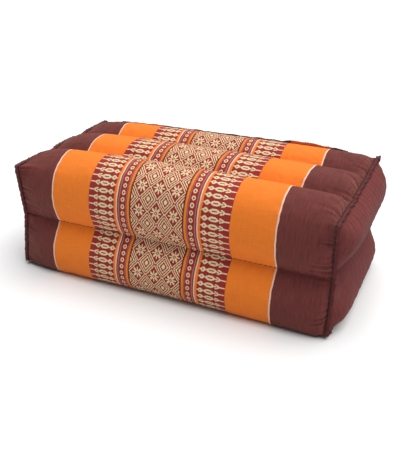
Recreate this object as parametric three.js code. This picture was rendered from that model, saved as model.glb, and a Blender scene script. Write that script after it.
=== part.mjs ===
// Block cushion of padded tubes, three deep and two high, in one woven wrap with a plain panel on each end.
// Frame in millimetres: origin under the middle of the cushion, +X along the tubes, +Y to the back, +Z up.
import * as THREE from "three";

// Size of the sewn cover, seam to seam
const LENGTH = 336; // between the two end seams
const MID_HEIGHT = 58; // of the seam between the upper and the lower tubes
const END_TOP = 114.5; // of an end panel's upper edge
const END_FOOT = 5; // of an end panel's lower edge, held off the floor by the filling
const END_HALF_DEPTH = 87.5; // of an end panel, middle to upper corner
const FOOT_HALF_DEPTH = 90; // of an end panel, middle to lower corner
const END_WAIST = 81.5; // half depth of an end at mid height, where its seam is drawn in

// Filling
const CROWN = 3.5; // rise of the top from its ends to the middle
const BACK_RISE = 4; // twist of the top: its right back corner lies this much higher than the others
const RIGHT_FULLNESS = 20; // the higher, the nearer to the end a tube stays full
const LEFT_FULLNESS = 12;
const UPPER_BULGE = 19; // swell of an end panel over the upper tubes
const LOWER_BULGE = 16; // swell of an end panel over the lower tubes
const UPPER_RISE = 1.4; // above 1, the upper swell sits nearer to the top
const LOWER_SAG = 2.1; // above 1, the lower swell sits nearer to the floor
const CREASE_SOFTNESS = 0.02; // rounds the fold between those two swells
const FOLD_DEPTH = 7; // how far that fold is drawn in behind the seam
const FOLD_WIDTH = 0.16; // share of the way from mid height to an edge
const BULGE_SQUARENESS = 8; // how evenly a panel swells from front to back

// Sewn pieces
const SHEET = 1.6; // thickness of an end panel, turned edge and all
const GAP = 0.35; // between neighbouring pieces
const PANEL_GAP = 0.52; // under an end panel at its crown, less where the end is steep
const PANEL_REACH = 0.975; // share of the way from the panel's middle to the seam
const WELT_HEIGHT = 3.6; // of the seam allowance that stands up round an end
const WELT_THICKNESS = 2;
const WELT_LIFT = 0.6; // of its foot over the line of the end seam
const WELT_LEAN = 42; // degrees, from square to the wrap towards the end
const CLOSING_HEIGHT = 4; // of the closing seam along the top of the back
const CLOSING_SHORT = 24; // distance of its ends from the end seams
const CLOSING_STEP = 5; // of the steps across the upper back tube, just behind its crest

// Fineness of the surface
const CORNER_STEPS = 14; // across a tube at a corner of the block
const MIDDLE_STEPS = 8; // across a tube between two others
const SECTIONS = 30; // along the length
const RINGS = 8; // across an end panel, from its edge to its fold
const FOLD_HALF = 56; // half of the line the rings of an end panel close on

// Section through the middle, tube by tube, from the front seam over the top: points [y, z] on a full tube
const UPPER_FRONT = [[-81, 58], [-90, 82], [-81, 112], [-53, 127.5], [-29, 113]];
const UPPER_MIDDLE = [[-29, 113], [-16, 124.5], [0, 128], [16, 124.5], [29, 113]];
const LOWER_BACK = [[81, 58], [97, 31], [91, 1], [54, -4], [29, 8]];
const LOWER_MIDDLE = [[29, 8], [16, -1], [0, -4], [-16, -1], [-29, 8]];
const CORNER_SEAM = 29; // distance of the top and bottom seams from the middle

const CLOTH_RED = 0x6a3030;
const CLOTH_ORANGE = 0xd9772c;
const THREAD_DARK = 0x3a1d1f;

// The tube seen in a mirror that swaps front and back, still taken in the same sense round the block.
const mirrored = (points) => points.map(([y, z]) => [-y, z]).reverse();

/** Points spaced evenly along a full tube, its last one left to the next tube. */
function fullTube(points, steps) {
  const curve = new THREE.SplineCurve(points.map(([y, z]) => new THREE.Vector2(y, z)));
  return curve.getSpacedPoints(steps).slice(0, steps);
}

/** Points spaced evenly along the two straight legs of an end seam, its last one left to the next tube. */
function sewnTube(points, steps) {
  const legs = points.length - 1;
  const made = [];
  for (let i = 0; i < steps; i++) {
    const along = (i / steps) * legs;
    const leg = Math.floor(along);
    const from = new THREE.Vector2(...points[leg]);
    made.push(from.lerp(new THREE.Vector2(...points[leg + 1]), along - leg));
  }
  return made;
}

const TUBES = [
  {
    full: UPPER_FRONT,
    sewn: [[-END_WAIST, MID_HEIGHT], [-END_HALF_DEPTH, END_TOP], [-CORNER_SEAM, END_TOP]],
    steps: CORNER_STEPS,
  },
  {
    full: UPPER_MIDDLE,
    sewn: [[-CORNER_SEAM, END_TOP], [CORNER_SEAM, END_TOP]],
    steps: MIDDLE_STEPS,
  },
  {
    full: mirrored(UPPER_FRONT),
    sewn: [[CORNER_SEAM, END_TOP], [END_HALF_DEPTH, END_TOP], [END_WAIST, MID_HEIGHT]],
    steps: CORNER_STEPS,
  },
  {
    full: LOWER_BACK,
    sewn: [[END_WAIST, MID_HEIGHT], [FOOT_HALF_DEPTH, END_FOOT], [CORNER_SEAM, END_FOOT]],
    steps: CORNER_STEPS,
  },
  {
    full: LOWER_MIDDLE,
    sewn: [[CORNER_SEAM, END_FOOT], [-CORNER_SEAM, END_FOOT]],
    steps: MIDDLE_STEPS,
  },
  {
    full: mirrored(LOWER_BACK),
    sewn: [[-CORNER_SEAM, END_FOOT], [-FOOT_HALF_DEPTH, END_FOOT], [-END_WAIST, MID_HEIGHT]],
    steps: CORNER_STEPS,
  },
];
const FULL_OUTLINE = TUBES.flatMap((tube) => fullTube(tube.full, tube.steps));
const SEWN_OUTLINE = TUBES.flatMap((tube) => sewnTube(tube.sewn, tube.steps));
const AROUND = FULL_OUTLINE.length;
const CLOSING_INDEX = CORNER_STEPS + MIDDLE_STEPS + CLOSING_STEP;

/** Share of the way from mid height (0) to the upper or lower edge of an end panel (1). */
function riseShare(z) {
  const reach = z >= MID_HEIGHT ? END_TOP - MID_HEIGHT : MID_HEIGHT - END_FOOT;
  return Math.min(1, Math.abs(z - MID_HEIGHT) / reach);
}

/** Distance of the filled end from the middle at [y, z]: two swells with a fold between them. */
function endReach(y, z) {
  const share = riseShare(z);
  const corner = z >= MID_HEIGHT ? END_HALF_DEPTH : FOOT_HALF_DEPTH;
  const halfDepth = END_WAIST + (corner - END_WAIST) * share;
  const across = 1 - Math.min(1, Math.abs(y) / halfDepth) ** BULGE_SQUARENESS;
  const height = share ** (z >= MID_HEIGHT ? UPPER_RISE : LOWER_SAG);
  const up = 4 * height * (1 - height);
  const soft = Math.sqrt(up * up + CREASE_SOFTNESS) - Math.sqrt(CREASE_SOFTNESS);
  const swell = z >= MID_HEIGHT ? UPPER_BULGE : LOWER_BULGE;
  const fold = FOLD_DEPTH * Math.exp(-((share / FOLD_WIDTH) ** 2));
  return LENGTH / 2 + (swell * soft - fold) * across;
}

/** The point moved up or down with the twist of the top. */
function twisted(point) {
  const back = THREE.MathUtils.clamp(point.y / END_HALF_DEPTH, 0, 1);
  const over = THREE.MathUtils.clamp(point.z / MID_HEIGHT - 1, 0, 1);
  point.z += BACK_RISE * Math.max(0, point.x / (LENGTH / 2)) * back * over;
  return point;
}

/** Point of the wrap: share runs from -1 at the left end seam to 1 at the right one. */
function wrapPoint(share, index) {
  const taper = Math.abs(share) ** (share < 0 ? LEFT_FULLNESS : RIGHT_FULLNESS);
  const full = FULL_OUTLINE[index % AROUND];
  const sewn = SEWN_OUTLINE[index % AROUND];
  const section = full.clone().lerp(sewn, taper);
  const lift = CROWN * (1 - share * share) * THREE.MathUtils.clamp(section.y / MID_HEIGHT - 1, 0, 1);
  return twisted(new THREE.Vector3((share * LENGTH) / 2, section.x, Math.max(0, section.y + lift)));
}

/** Point [y, z] of an end panel: share runs from 0 on its fold to 1 at its seam. */
function panelPlace(share, index) {
  const above = SEWN_OUTLINE[Math.min(index, AROUND - index)];
  const fold = new THREE.Vector2(THREE.MathUtils.clamp(above.x, -FOLD_HALF, FOLD_HALF), MID_HEIGHT);
  return fold.lerp(SEWN_OUTLINE[index], share);
}

/** Point of a right-hand end panel's surface, lifted off the filled end by a distance square to it. */
function panelPoint(share, index, lift) {
  const step = 0.5;
  const place = panelPlace(share, index);
  const slopeY = (endReach(place.x + step, place.y) - endReach(place.x - step, place.y)) / (2 * step);
  const slopeZ = (endReach(place.x, place.y + step) - endReach(place.x, place.y - step)) / (2 * step);
  const lengthen = Math.min(2, Math.hypot(1, slopeY, slopeZ));
  return new THREE.Vector3(endReach(place.x, place.y) + lift * lengthen, place.x, place.y);
}

/**
 * Closed solid from rings of equal length, each joined to the next. The first and last ring are joined to
 * each other when closed is true; otherwise each of them has to lie folded flat on a line, or on a point.
 */
function solidOfRings(rings, closed) {
  const places = [];
  const known = new Map();
  const faces = [];
  const size = rings[0].length;
  const numberOf = (point) => {
    const key = point.toArray().map((value) => Math.round(value * 1000)).join();
    if (!known.has(key)) {
      known.set(key, known.size);
      places.push(...point.toArray());
    }
    return known.get(key);
  };
  const numbers = rings.map((ring) => ring.map(numberOf));
  const addFace = (a, b, c) => {
    if (a !== b && b !== c && c !== a) faces.push(a, b, c);
  };
  const spans = closed ? rings.length : rings.length - 1;
  for (let r = 0; r < spans; r++) {
    const near = numbers[r];
    const far = numbers[(r + 1) % rings.length];
    for (let i = 0; i < size; i++) {
      const next = (i + 1) % size;
      addFace(near[i], near[next], far[next]);
      addFace(near[i], far[next], far[i]);
    }
  }
  const geometry = new THREE.BufferGeometry();
  geometry.setAttribute("position", new THREE.Float32BufferAttribute(places, 3));
  geometry.setIndex(faces);
  return facingOut(geometry);
}

/** The same geometry with its faces turned round if they look inwards. */
function facingOut(geometry) {
  const place = geometry.getAttribute("position");
  const index = geometry.getIndex();
  const corner = [0, 1, 2].map(() => new THREE.Vector3());
  let volume = 0;
  for (let i = 0; i < index.count; i += 3) {
    corner.forEach((point, k) => point.fromBufferAttribute(place, index.getX(i + k)));
    volume += corner[0].dot(corner[1].clone().cross(corner[2]));
  }
  if (volume < 0) {
    for (let i = 0; i < index.count; i += 3) {
      const second = index.getX(i + 1);
      index.setX(i + 1, index.getX(i + 2));
      index.setX(i + 2, second);
    }
  }
  return geometry;
}

const ringOf = (pointAt) => Array.from({ length: AROUND }, (_, index) => pointAt(index));
const onRight = (point) => twisted(point);
const onLeft = (point) => twisted(new THREE.Vector3(-point.x, point.y, point.z));

/** The filled body: the wrap from seam to seam, and a swollen end under each panel. */
function cushionSolid() {
  const rings = [];
  for (let r = 0; r <= RINGS; r++) {
    rings.push(ringOf((index) => onLeft(panelPoint((PANEL_REACH * r) / RINGS, index, 0))));
  }
  for (let s = 0; s <= SECTIONS; s++) {
    const share = Math.sin((s / SECTIONS - 0.5) * Math.PI);
    rings.push(ringOf((index) => wrapPoint(share, index)));
  }
  for (let r = RINGS; r >= 0; r--) {
    rings.push(ringOf((index) => onRight(panelPoint((PANEL_REACH * r) / RINGS, index, 0))));
  }
  return solidOfRings(rings, false);
}

/** One end panel, a sheet over the swollen end: its left face from the fold out, its right face back in. */
function panelSolid(place, leftLift, rightLift) {
  const rings = [];
  for (let r = 0; r <= RINGS; r++) {
    rings.push(ringOf((index) => place(panelPoint((PANEL_REACH * r) / RINGS, index, leftLift))));
  }
  for (let r = RINGS; r >= 0; r--) {
    rings.push(ringOf((index) => place(panelPoint((PANEL_REACH * r) / RINGS, index, rightLift))));
  }
  return solidOfRings(rings, false);
}

/** Direction square to an end seam, in the plane of the end, pointing away from the panel. */
function seamOutward(index) {
  const before = SEWN_OUTLINE[(index + AROUND - 1) % AROUND];
  const after = SEWN_OUTLINE[(index + 1) % AROUND];
  const along = after.clone().sub(before).normalize();
  return new THREE.Vector3(0, -along.y, along.x);
}

/** Profile of a standing seam allowance: sideways and upward, rounded at the top. */
function weltProfile(height) {
  const half = WELT_THICKNESS / 2;
  return [
    [-half, 0],
    [-half, height - half],
    [-half / 2, height],
    [half / 2, height],
    [half, height - half],
    [half, 0],
  ];
}

/** The seam allowance that stands up all round one end. */
function endWeltSolid(place) {
  const lean = THREE.MathUtils.degToRad(WELT_LEAN);
  const rings = weltProfile(WELT_HEIGHT).map(([side, up]) =>
    ringOf((index) => {
      const seam = SEWN_OUTLINE[index];
      const outward = seamOutward(index);
      const rise = outward.clone().multiplyScalar(Math.cos(lean)).setX(Math.sin(lean));
      const across = outward.clone().multiplyScalar(-Math.sin(lean)).setX(Math.cos(lean));
      const base = new THREE.Vector3(LENGTH / 2, seam.x, seam.y);
      return place(base.addScaledVector(rise, WELT_LIFT + up).addScaledVector(across, side));
    }),
  );
  return solidOfRings(rings, true);
}

/** The closing seam's allowance, standing square to the wrap behind the crest of the upper back tube. */
function closingSolid() {
  const reach = (LENGTH / 2 - CLOSING_SHORT) / (LENGTH / 2);
  const rings = [];
  for (let s = 0; s <= SECTIONS; s++) {
    const share = reach * Math.sin((s / SECTIONS - 0.5) * Math.PI);
    const before = wrapPoint(share, CLOSING_INDEX - 1);
    const after = wrapPoint(share, CLOSING_INDEX + 1);
    const across = after.clone().sub(before).setX(0).normalize();
    const rise = new THREE.Vector3(0, -across.z, across.y);
    const base = wrapPoint(share, CLOSING_INDEX).addScaledVector(rise, GAP);
    const profile = weltProfile(CLOSING_HEIGHT).map(([side, up]) =>
      base.clone().addScaledVector(across, side).addScaledVector(rise, up),
    );
    const middle = base.addScaledVector(rise, CLOSING_HEIGHT / 2);
    if (s === 0) rings.push(profile.map(() => middle));
    rings.push(profile);
    if (s === SECTIONS) rings.push(profile.map(() => middle));
  }
  return solidOfRings(rings, false);
}

function piece(name, geometry, color, roughness) {
  const material = new THREE.MeshStandardMaterial({ color, roughness, metalness: 0 });
  const mesh = new THREE.Mesh(geometry, material);
  mesh.name = name;
  return mesh;
}

const cushion = new THREE.Group();
cushion.add(piece("cushion", cushionSolid(), CLOTH_ORANGE, 0.8));
cushion.add(piece("end_panel_left", panelSolid(onLeft, PANEL_GAP, PANEL_GAP + SHEET), CLOTH_RED, 0.8));
cushion.add(piece("end_panel_right", panelSolid(onRight, PANEL_GAP + SHEET, PANEL_GAP), CLOTH_RED, 0.8));
cushion.add(piece("seam_left", endWeltSolid(onLeft), THREAD_DARK, 0.85));
cushion.add(piece("seam_right", endWeltSolid(onRight), THREAD_DARK, 0.85));
cushion.add(piece("seam_back", closingSolid(), THREAD_DARK, 0.85));

export default cushion;
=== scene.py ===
"""Looks of the folding meditation cushion: padded tubes in a striped wrap with a brocaded middle.

Lengths are millimetres in the row's frame until a mesh is made: origin under the middle of the
cushion, +X along the tubes, +Y to the back, +Z up.
"""

import logging
import math
from collections.abc import Mapping, Sequence
from dataclasses import dataclass
from enum import Enum
from typing import Any

import bmesh
import bpy
import numpy as np
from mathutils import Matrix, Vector


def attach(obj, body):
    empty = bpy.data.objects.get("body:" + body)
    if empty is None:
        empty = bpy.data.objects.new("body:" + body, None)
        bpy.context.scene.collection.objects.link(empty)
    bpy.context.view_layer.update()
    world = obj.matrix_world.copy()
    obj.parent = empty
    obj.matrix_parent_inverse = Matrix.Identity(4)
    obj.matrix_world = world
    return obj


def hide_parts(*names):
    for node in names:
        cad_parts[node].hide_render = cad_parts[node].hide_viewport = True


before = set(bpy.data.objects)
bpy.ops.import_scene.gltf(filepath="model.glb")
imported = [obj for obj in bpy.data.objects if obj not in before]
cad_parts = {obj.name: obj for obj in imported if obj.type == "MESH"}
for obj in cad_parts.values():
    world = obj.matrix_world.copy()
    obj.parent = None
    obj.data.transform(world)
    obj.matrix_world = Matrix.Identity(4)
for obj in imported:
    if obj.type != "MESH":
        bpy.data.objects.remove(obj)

LOG = logging.getLogger("cushion")
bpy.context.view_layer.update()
MM = 0.001  # metres in a millimetre
CLOTH = "Cloth"  # UV map in millimetres of cloth: u along the tubes, v round the block
WRAP_FACES, LEFT_FACES, RIGHT_FACES = 0, 1, 2  # kinds of face in the cover's mesh
MERGE = 0.002  # millimetres within which the points of a thread or a ridge become one
TOUCH = 0.01  # millimetres within which points of the cover lie at one place
FULL_TURN = 2 * math.pi
BMesh = bmesh.types.BMesh
Mesh = bpy.types.Mesh
Material = bpy.types.Material
Piece = bpy.types.Object
Socket = bpy.types.NodeSocket
Stops = Sequence[tuple[float, Sequence[float]]]
Inputs = Mapping[int | str, Any] | Sequence[Any]
Cells = dict[bmesh.types.BMVert, tuple[int, int]]


class Side(Enum):
    """An end of the cushion, by the sign of its X."""

    LEFT = -1
    RIGHT = 1

    @property
    def word(self) -> str:
        """The end's name in lower case."""
        return self.name.lower()


def linear(code: str) -> tuple[float, float, float, float]:
    """Turns an sRGB colour into a linear one.

    Args:
        code: six hex digits.

    Returns:
        Red, green, blue and alpha for a node's socket.
    """
    shares = [int(code[i:i + 2], 16) / 255 for i in (0, 2, 4)]
    made = [s / 12.92 if s <= 0.04045 else ((s + 0.055) / 1.055) ** 2.4 for s in shares]
    return made[0], made[1], made[2], 1.0


class Nodes:
    """A material and its shader nodes."""

    def __init__(self, name: str) -> None:
        """Starts a material.

        Args:
            name: what the real material is called.
        """
        self.material = bpy.data.materials.new(name)
        self.material.use_nodes = True
        self.tree = self.material.node_tree

    def feed(self, node: bpy.types.Node, inputs: Inputs) -> None:
        """Sets or links the inputs of a node.

        Args:
            node: the node to feed.
            inputs: a value or an output for each input, in order, or by index or name.
        """
        for socket, value in inputs.items() if isinstance(inputs, Mapping) else enumerate(inputs):
            if isinstance(value, Socket):
                self.tree.links.new(value, node.inputs[socket])
            else:
                node.inputs[socket].default_value = value

    def add(self, kind: str, inputs: Inputs = (), stops: Stops = (), **settings: Any) -> Any:
        """Adds a node.

        Args:
            kind: the end of the node's type name.
            inputs: a value or an output for each input, in order, or by index or name.
            stops: positions and colours of a ramp whose colours don't blend.
            settings: the node's own properties.

        Returns:
            The new node's outputs.
        """
        node = self.tree.nodes.new("ShaderNode" + kind)
        for name, value in settings.items():
            setattr(node, name, value)
        if stops:
            ramp = node.color_ramp
            ramp.interpolation = "CONSTANT"
            ramp.elements.remove(ramp.elements[1])
            for number, (position, colour) in enumerate(stops):
                element = ramp.elements.new(position) if number else ramp.elements[0]
                element.position = position
                element.color = colour
        self.feed(node, inputs)
        return node.outputs

    def finish(self, inputs: Inputs) -> Material:
        """Feeds the shader and gives the finished material."""
        self.feed(self.tree.nodes["Principled BSDF"], inputs)
        return self.material


def chart_code(line: str) -> float:
    """Turns a line of a weaving chart into a number.

    Args:
        line: the cells, a hash sign where the pattern thread shows.

    Returns:
        A fraction whose binary digits are the cells, first cell first, and half a digit more.
    """
    digits = sum(0.5 ** (k + 1) for k, cell in enumerate(line) if cell == "#")
    return digits + 0.5 ** (len(line) + 1)


def chart_stops(lines: Sequence[str]) -> Stops:
    """Turns a weaving chart into ramp stops, with equal neighbours merged.

    Args:
        lines: the chart's lines, in order along the ramp.

    Returns:
        Positions from 0 to 1 and grey colours that hold the lines' numbers.
    """
    made = []
    for number, line in enumerate(lines):
        if not number or line != lines[number - 1]:
            code = chart_code(line)
            made.append((number / len(lines), (code, code, code, 1.0)))
    return made


@dataclass(frozen=True)
class WovenCotton:
    """What the two cottons share: a plain weave of uneven yarn, read on the cloth's own UV map."""

    thread: float = 1.1  # spacing of the threads, drawn about twice too coarse so that they show
    slub: float = 0.7  # width of a streak in the yarn
    slub_length: float = 16.0
    thread_height: float = 0.35  # against the uneven yarn
    streaks: tuple[float, float] = (0.3, 0.7)  # range that most streaks' values lie in
    dye: tuple[float, float] = (0.9, 1.1)  # shares by which the depth of dye differs

    def cloth(self, nodes: Nodes) -> tuple[Socket, Socket, Socket, Socket]:
        """Reads the cloth.

        Args:
            nodes: the material.

        Returns:
            Millimetres along and round the block, and streaks of uneven yarn the one way and the other.
        """
        place = nodes.add("UVMap", uv_map=CLOTH)["UV"]
        along, around, _ = nodes.add("SeparateXYZ", (place,))
        thin, long = 1 / self.slub, 1 / self.slub_length
        yarns = []
        for stretch in ((thin, long, 0), (long, thin, 0)):
            run = nodes.add("VectorMath", (place, stretch), operation="MULTIPLY")[0]
            yarns.append(nodes.add("TexNoise", {"Vector": run, "Scale": 1.0, "Detail": 2.0})[0])
        return along, around, yarns[0], yarns[1]

    def weave(self, nodes: Nodes, along: Socket, around: Socket, yarn: Socket) -> Socket:
        """Makes the relief of the weave.

        Args:
            nodes: the material.
            along: millimetres along the block.
            around: millimetres round it.
            yarn: unevenness of the yarn.

        Returns:
            The height of the cloth's threads.
        """
        waves = []
        for way in (along, around):
            turned = nodes.add("Math", (way, FULL_TURN / self.thread), operation="MULTIPLY")
            waves.append(nodes.add("Math", (turned[0],), operation="SINE")[0])
        weave = nodes.add("Math", waves, operation="MULTIPLY")[0]
        return nodes.add("Math", (weave, self.thread_height, yarn), operation="MULTIPLY_ADD")[0]


@dataclass(frozen=True)
class BrocadeCotton(WovenCotton):
    """Handwoven cotton: plain stripes with a sheen, and a raised cream pattern on red in the middle."""

    name: str = "Handwoven brocade cotton"
    orange: str = "ec7c24"
    red: str = "98262a"
    cream: str = "e2cfa2"
    maroon_dark: str = "5a2a28"
    maroon_light: str = "743431"
    mauve: str = "a8726a"
    brown: str = "7a3a30"
    pink: str = "eac6b0"
    sheen: str = "e8b090"  # of the fine fibres that stand up and catch the light
    field_half: float = 28.0  # half width of the flowered field
    flower_width: float = 18.8  # repeat along the tubes
    flower_height: float = 23.5  # repeat round the block
    flower_shift: float = 12.2  # place of the first flower, from the closing seam
    field_step: float = 0.5875  # size of a cell of the flower's chart
    heart: float = 0.8  # radius of the flower's middle
    petal: tuple[float, float] = (1.7, 5.8)  # where a petal starts and ends
    petal_half: float = 0.86  # half width of a petal
    petal_turn: float = 45.0  # degrees from one petal to the next
    flower_reach: float = 6.95  # along the tubes, to the lattice
    # The lattice's cream lines, from and to, along the tubes through the flower's centre.
    lattice: tuple[tuple[float, float], ...] = (
        (8.25, 9.4), (10.85, 12.0), (13.5, 14.8), (16.6, 20.0))
    chain_start: float = 34.5
    chain_width: float = 5.0
    chain_repeat: float = 6.8
    pendant_start: float = 47.0
    pendant_end: float = 76.0
    pendant_repeat: float = 7.1
    maroon_start: float = 121.5

    # Lines go from the middle of the cloth outwards, and cells round the block from a link's centre.
    BLANK = "......"
    CHAIN = (
        BLANK, "##....", "###...", ".###..", "..##..", "..##..", ".###..", "###...", "##....", BLANK)
    PENDANT = (
        *["#....."] * 2, "##....", "###...", *[".###.."] * 2, "####..", "###...", "##....",
        *["#....."] * 2, "##....", *["###..."] * 2, *[".###.."] * 7, *["###..."] * 2, "##....",
        *["#....."] * 2, *["#.##.."] * 2, ".###..", ".##...", "###...", "##....", *["#....."] * 8)

    def flower(self, along: float, around: float) -> bool:
        """Tells whether the cream thread shows at a place in the flowered field.

        Args:
            along: distance along the tubes from the flower's centre.
            around: distance round the block from there.

        Returns:
            True on the flower's middle, on a petal and on a line of the lattice.
        """
        across = along + around * self.flower_width / self.flower_height
        if across > self.flower_reach:
            return any(start <= across < end for start, end in self.lattice)
        away = math.hypot(along, around)
        turn = math.degrees(math.atan2(around, along)) % self.petal_turn
        aside = away * math.sin(math.radians(min(turn, self.petal_turn - turn)))
        return away < self.heart or (self.petal[0] < away < self.petal[1] and aside < self.petal_half)

    def field(self) -> list[str]:
        """Charts a quarter of the flower and its lattice.

        Returns:
            Lines from the flower's centre outwards round the block.
        """
        cells = round(self.flower_width / 2 / self.field_step)
        lines = round(self.flower_height / 2 / self.field_step)
        middles = [(number + 0.5) * self.field_step for number in range(max(cells, lines))]
        return [
            "".join("#" if self.flower(along, around) else "." for along in middles[:cells])
            for around in middles[:lines]
        ]

    def stripes(self) -> list[tuple[float, str]]:
        """Where each stripe of the ground starts, out from the middle of the cloth, and its colour."""
        return [
            (0.0, self.red), (28.0, self.maroon_dark), (29.6, self.orange), (32.1, self.brown),
            (32.8, self.mauve), (33.5, self.red), (40.9, self.mauve), (41.8, self.brown),
            (43.2, self.pink), (44.5, self.orange), (47.0, self.red),
            (76.0, self.orange), (120.0, self.pink), (121.5, self.maroon_dark),
        ]

    def ground(self, nodes: Nodes, out: Socket) -> Socket:
        """Colours the stripes, the narrow ones on a ramp of their own, because a ramp holds 256 steps.

        Args:
            nodes: the material.
            out: distance from the middle of the cloth.

        Returns:
            The colour of the ground.
        """
        narrow_from, narrow_to, cloth_end = 26.0, 50.0, 180.0
        ramps = []
        for low, high in ((narrow_from, narrow_to), (narrow_to, cloth_end)):
            before = [colour for start, colour in self.stripes() if start <= low][-1]
            stops = [(0.0, linear(before))]
            stops += [
                ((start - low) / (high - low), linear(colour))
                for start, colour in self.stripes() if low < start < high
            ]
            share = nodes.add("MapRange", (out, low, high))
            ramps.append(nodes.add("ValToRGB", (share[0],), stops)[0])
        wide = nodes.add("Math", (out, narrow_to), operation="GREATER_THAN")[0]
        return nodes.add("Mix", {0: wide, 6: ramps[0], 7: ramps[1]}, data_type="RGBA")[2]

    def pattern(self, nodes: Nodes, along: Socket, around: Socket, out: Socket) -> Socket:
        """Reads each chart as a ramp of numbers one way of the cloth and their digits the other.

        Args:
            nodes: the material.
            along: millimetres along the block.
            around: millimetres round it.
            out: distance from the middle of the cloth.

        Returns:
            1 where the cream thread shows, and 0 elsewhere.
        """
        start, end = self.pendant_start, self.pendant_end
        step = (end - start) / len(self.PENDANT)
        shifted = nodes.add("Math", (around, self.flower_shift), operation="SUBTRACT")[0]
        half = self.flower_height / 2
        folded = nodes.add("Math", (shifted, half), operation="PINGPONG")[0]
        charts = (
            (self.field(), folded, 0.0, half, along, self.flower_width),
            (self.CHAIN, out, self.chain_start, self.chain_start + self.chain_width,
             around, self.chain_repeat),
            ((self.BLANK, *self.PENDANT, self.BLANK), out, start - step, end + step,
             around, self.pendant_repeat),
        )
        shows = []
        for lines, run, low, high, across, repeat in charts:
            share = nodes.add("MapRange", (run, low, high))
            ramp = nodes.add("ValToRGB", (share[0],), chart_stops(lines))
            code = nodes.add("SeparateColor", (ramp[0],))
            place = nodes.add("Math", (across, repeat / 2), operation="PINGPONG")
            cells = nodes.add("Math", (place[0], repeat / 2 / len(lines[0])), operation="DIVIDE")
            digit = nodes.add("Math", (cells[0],), operation="FLOOR")
            power = nodes.add("Math", (2.0, digit[0]), operation="POWER")
            scaled = nodes.add("Math", (code[0], power[0]), operation="MULTIPLY")
            rest = nodes.add("Math", (scaled[0],), operation="FRACT")
            shows.append(nodes.add("Math", (rest[0], 0.5), operation="GREATER_THAN")[0])
        in_field = nodes.add("Math", (out, self.field_half), operation="LESS_THAN")[0]
        made = nodes.add("Math", (shows[0], in_field), operation="MULTIPLY")[0]
        for other in shows[1:]:
            made = nodes.add("Math", (made, other), operation="MAXIMUM")[0]
        return made

    def material(self) -> Material:
        """Makes the material.

        Returns:
            The material of the wrap.
        """
        nodes = Nodes(self.name)
        along, around, streak, weft = self.cloth(nodes)
        out = nodes.add("Math", (along,), operation="ABSOLUTE")[0]

        # Shot cotton at the two ends of the cloth: dark threads one way and red ones the other.
        at_end = nodes.add("Math", (out, self.maroon_start), operation="GREATER_THAN")[0]
        red = nodes.add("MapRange", (streak, *self.streaks))[0]
        shot = nodes.add("Math", (red, at_end), operation="MULTIPLY")[0]
        ground = nodes.add(
            "Mix", {0: shot, 6: self.ground(nodes, out), 7: linear(self.maroon_light)}, data_type="RGBA")[2]

        # Yarns differ a little in depth of dye, and the pattern threads lie on top of the weave.
        pattern = self.pattern(nodes, along, around, out)
        uneven = nodes.add("Math", (streak, weft), operation="ADD")[0]
        colour = nodes.add("Mix", {0: pattern, 6: ground, 7: linear(self.cream)}, data_type="RGBA")[2]
        shade = nodes.add("MapRange", (uneven, 2 * self.streaks[0], 2 * self.streaks[1], *self.dye))[0]
        weave = self.weave(nodes, along, around, uneven)
        relief = nodes.add("Math", (pattern, weave), operation="ADD")[0]
        return nodes.finish({
            "Base Color": nodes.add("VectorMath", {0: colour, "Scale": shade}, operation="SCALE")[0],
            "Normal": nodes.add("Bump", {"Strength": 0.6, "Distance": 0.25 * MM, "Height": relief})[0],
            "Roughness": 0.82, "Specular IOR Level": 0.25,
            "Sheen Weight": 0.3, "Sheen Roughness": 0.45, "Sheen Tint": linear(self.sheen)})


@dataclass(frozen=True)
class ShotCotton(WovenCotton):
    """Plain cotton woven from dark threads one way and red ones the other, dusty where light grazes it."""

    dark: str = "5a2b2a"
    light: str = "763734"

    def material(self) -> Material:
        """Makes the material.

        Returns:
            The material of the end panels.
        """
        nodes = Nodes("Maroon shot cotton")
        along, around, streak, weft = self.cloth(nodes)
        shot = nodes.add("MapRange", (streak, *self.streaks))[0]
        colour = nodes.add(
            "Mix", {0: shot, 6: linear(self.dark), 7: linear(self.light)}, data_type="RGBA")[2]
        shade = nodes.add("MapRange", (weft, *self.streaks, *self.dye))[0]
        relief = self.weave(nodes, along, around, streak)
        return nodes.finish({
            "Base Color": nodes.add("VectorMath", {0: colour, "Scale": shade}, operation="SCALE")[0],
            "Normal": nodes.add("Bump", {"Strength": 0.6, "Distance": 0.25 * MM, "Height": relief})[0],
            "Roughness": 0.88, "Specular IOR Level": 0.15, "Sheen Weight": 0.04, "Sheen Roughness": 0.45})


@dataclass(frozen=True)
class OverlockThread:
    """Spun polyester sewing thread: dark and dull, with the twist of its plies just showing."""

    name: str = "Spun polyester thread"
    dark: str = "1d1214"
    light: str = "3a2426"
    twist: float = 0.8  # length of a turn of the plies

    def material(self) -> Material:
        """Makes the material, which reads Object coordinates.

        Returns:
            The material of the sewing thread.
        """
        nodes = Nodes(self.name)
        where = nodes.add("TexCoord")["Object"]
        scale = 1 / (self.twist * MM)
        fibres = nodes.add("TexNoise", {"Vector": where, "Scale": scale, "Detail": 2.0})[0]
        share = nodes.add("MapRange", (fibres, 0.35, 0.65))[0]
        return nodes.finish({
            "Base Color": nodes.add(
                "Mix", {0: share, 6: linear(self.dark), 7: linear(self.light)}, data_type="RGBA")[2],
            "Normal": nodes.add("Bump", {"Strength": 0.5, "Distance": 0.15 * MM, "Height": fibres})[0],
            "Roughness": 0.75})


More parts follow.
